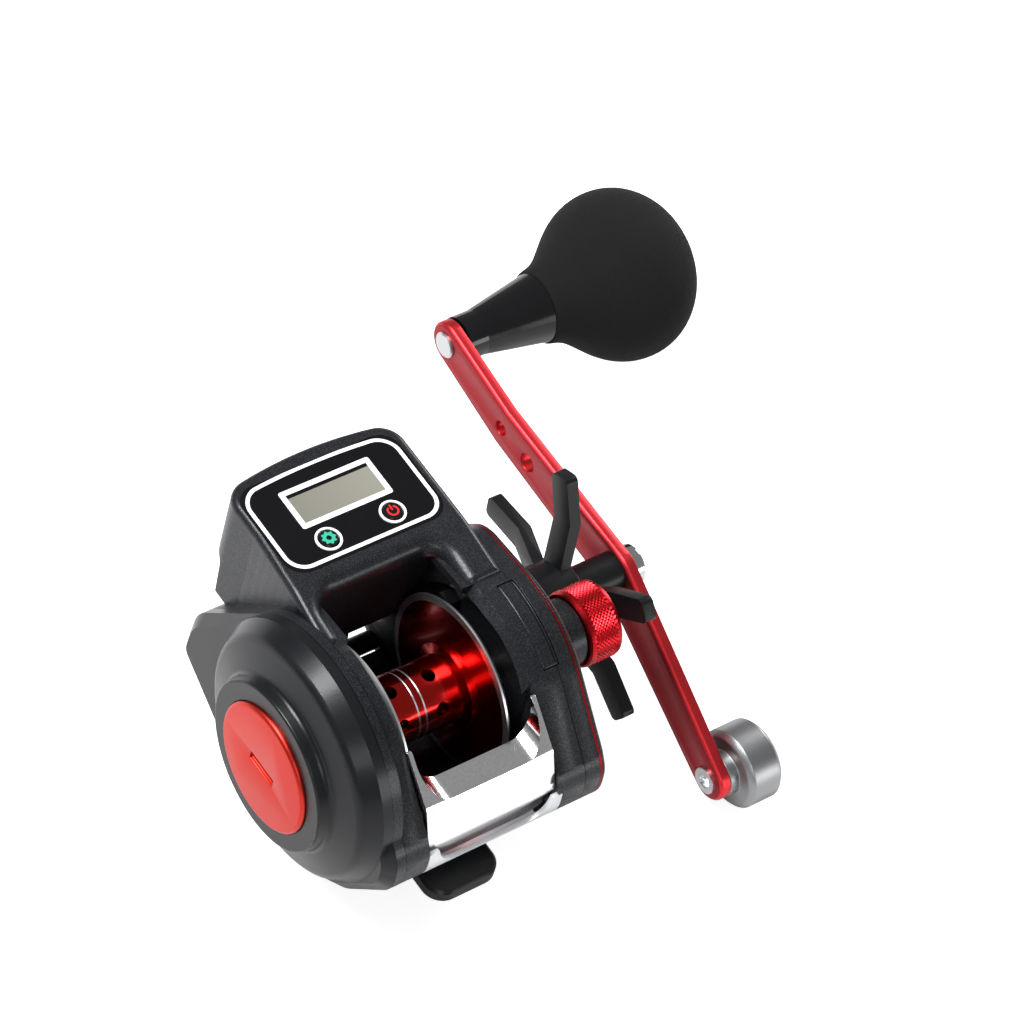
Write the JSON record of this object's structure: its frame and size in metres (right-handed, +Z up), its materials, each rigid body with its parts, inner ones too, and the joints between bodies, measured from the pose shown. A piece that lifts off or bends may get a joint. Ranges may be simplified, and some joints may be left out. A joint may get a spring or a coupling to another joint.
{
  "type": "line counter fishing reel",
  "caption": "Baitcasting fishing reel with a line counter display, a red spool, a star drag and a crank arm with a round foam knob and a counterweight.",
  "frame": {"origin": "on the underside of the reel foot, straight below the spool's axis, midway across the foot", "axes": "+X along the spool's axis towards the crank, +Y forward along the rod towards its tip, +Z up from the foot to the spool"},
  "size_m": [0.1403, 0.1183, 0.0611],
  "materials": {
    "case_black": "satin moulded case with fine bright flecks",
    "cover_black": "smooth dark cover, satin gloss",
    "accent_red": "red anodised, satin",
    "disc_red": "red satin face",
    "spool_red": "deep red anodised, polished",
    "arm_red": "red anodised, satin with bright edges",
    "chrome": "mirror",
    "pearl": "pearl silver gloss",
    "steel": "turned and brushed",
    "dark_steel": "plain machined",
    "brass": "machined",
    "foam": "matte foam",
    "gloss_black": "high gloss",
    "satin_black": "satin",
    "lcd": "olive grey display",
    "board": "green board",
    "friction": "friction washer",
    "magnet": "plated magnet",
    "eye": "ceramic, polished"
  },
  "bodies": {
    "frame": {"main_frame": "case_black", "side_insert": "cover_black", "reel_foot": "satin_black", "foot_screws": "steel", "left_cover": "cover_black", "cover_screws": "dark_steel", "spool_sensor": "gloss_black", "ball_bearings": "steel", "yoke_posts": "steel", "yoke_springs": "steel", "chin_plate": "pearl", "right_cover": "case_black", "accent_ring": "accent_red", "one_way_bearing": "steel", "frame_bushes": "brass", "worm_guard": "steel", "guide_rail": "steel", "display_housing": "case_black", "display_base": "satin_black", "display_lens": "gloss_black", "lcd_panel": "lcd", "circuit_board": "board", "button_switches": "satin_black", "button_rings": "chrome", "coin_cell": "steel", "battery_door": "satin_black"},
    "crank": {"drive_shaft": "steel", "drive_gear": "brass", "drag_washers": "friction", "pressure_plate": "dark_steel", "spring_washers": "steel", "carry_gear": "satin_black", "crank_spacer": "satin_black", "handle_arm": "arm_red", "handle_nut": "chrome", "counterweight": "steel", "weight_screw": "steel", "knob_shaft": "steel"},
    "star": {"star_drag": "satin_black"},
    "knob": {"knob_neck": "gloss_black", "knob_grip": "foam", "knob_cap": "accent_red"},
    "spool": {"spool": "spool_red", "counter_magnets": "magnet", "spool_shaft": "steel"},
    "thumb": {"thumb_bar": "chrome", "clutch_slider": "dark_steel"},
    "yoke": {"clutch_yoke": "satin_black"},
    "pinion": {"pinion": "brass"},
    "worm": {"worm_shaft": "steel", "worm_gear": "satin_black"},
    "guide": {"line_guide": "satin_black", "guide_eye": "eye", "line_pawl": "brass"},
    "brake": {"brake_dial": "disc_red"},
    "magnets": {"magnet_carrier": "satin_black", "brake_magnets": "magnet"},
    "cast_cap": {"cast_control_cap": "arm_red"},
    "mode_button": {"mode_button": "gloss_black"},
    "power_button": {"power_button": "gloss_black"}
  },
  "joints": [
    {"name": "crank_turn", "type": "hinge", "parent": "frame", "child": "crank", "pos_m": [0, 0.0121, 0.0158], "axis": [1, 0, 0], "continuous": true},
    {"name": "star_turn", "type": "hinge", "parent": "crank", "child": "star", "pos_m": [0, 0.0121, 0.0158], "axis": [1, 0, 0], "range_deg": [-150, 150]},
    {"name": "knob_spin", "type": "hinge", "parent": "crank", "child": "knob", "pos_m": [0, 0.0686, 0.0191], "axis": [1, 0, 0], "continuous": true},
    {"name": "spool_spin", "type": "hinge", "parent": "frame", "child": "spool", "pos_m": [0, 0, 0.0255], "axis": [1, 0, 0], "continuous": true},
    {"name": "thumb_press", "type": "slide", "parent": "frame", "child": "thumb", "axis": [0, 0.2874, -0.9578], "range_m": [0, 0.0026]},
    {"name": "yoke_lift", "type": "slide", "parent": "frame", "child": "yoke", "axis": [1, 0, 0], "range_m": [0, 0.0016], "deforming": ["yoke_springs"]},
    {"name": "pinion_spin", "type": "hinge", "parent": "yoke", "child": "pinion", "pos_m": [0, 0, 0.0255], "axis": [1, 0, 0], "continuous": true},
    {"name": "worm_turn", "type": "hinge", "parent": "frame", "child": "worm", "pos_m": [0, 0.027, 0.0145], "axis": [1, 0, 0], "continuous": true},
    {"name": "guide_traverse", "type": "slide", "parent": "frame", "child": "guide", "axis": [1, 0, 0], "range_m": [-0.0071, 0.0071]},
    {"name": "brake_turn", "type": "hinge", "parent": "frame", "child": "brake", "pos_m": [0, 0, 0.0255], "axis": [1, 0, 0], "range_deg": [0, 270]},
    {"name": "magnet_slide", "type": "slide", "parent": "frame", "child": "magnets", "axis": [1, 0, 0], "range_m": [-0.0014, 0]},
    {"name": "cast_turn", "type": "hinge", "parent": "frame", "child": "cast_cap", "pos_m": [0, 0, 0.0255], "axis": [1, 0, 0], "range_deg": [-180, 180]},
    {"name": "mode_press", "type": "slide", "parent": "frame", "child": "mode_button", "axis": [0, 0, -1], "range_m": [0, 0.0004], "stiffness_N_per_m": 300},
    {"name": "power_press", "type": "slide", "parent": "frame", "child": "power_button", "axis": [0, 0, -1], "range_m": [0, 0.0004], "stiffness_N_per_m": 300}
  ],
  "couplings": [
    {"joint": "spool_spin", "follows": "crank_turn", "ratio": -5.2857},
    {"joint": "pinion_spin", "follows": "crank_turn", "ratio": -5.2857},
    {"joint": "worm_turn", "follows": "crank_turn", "ratio": -1.5},
    {"joint": "yoke_lift", "follows": "thumb_press", "ratio": 0.61538},
    {"joint": "magnet_slide", "follows": "brake_turn", "m_per_rad": -0.00029709}
  ]
}
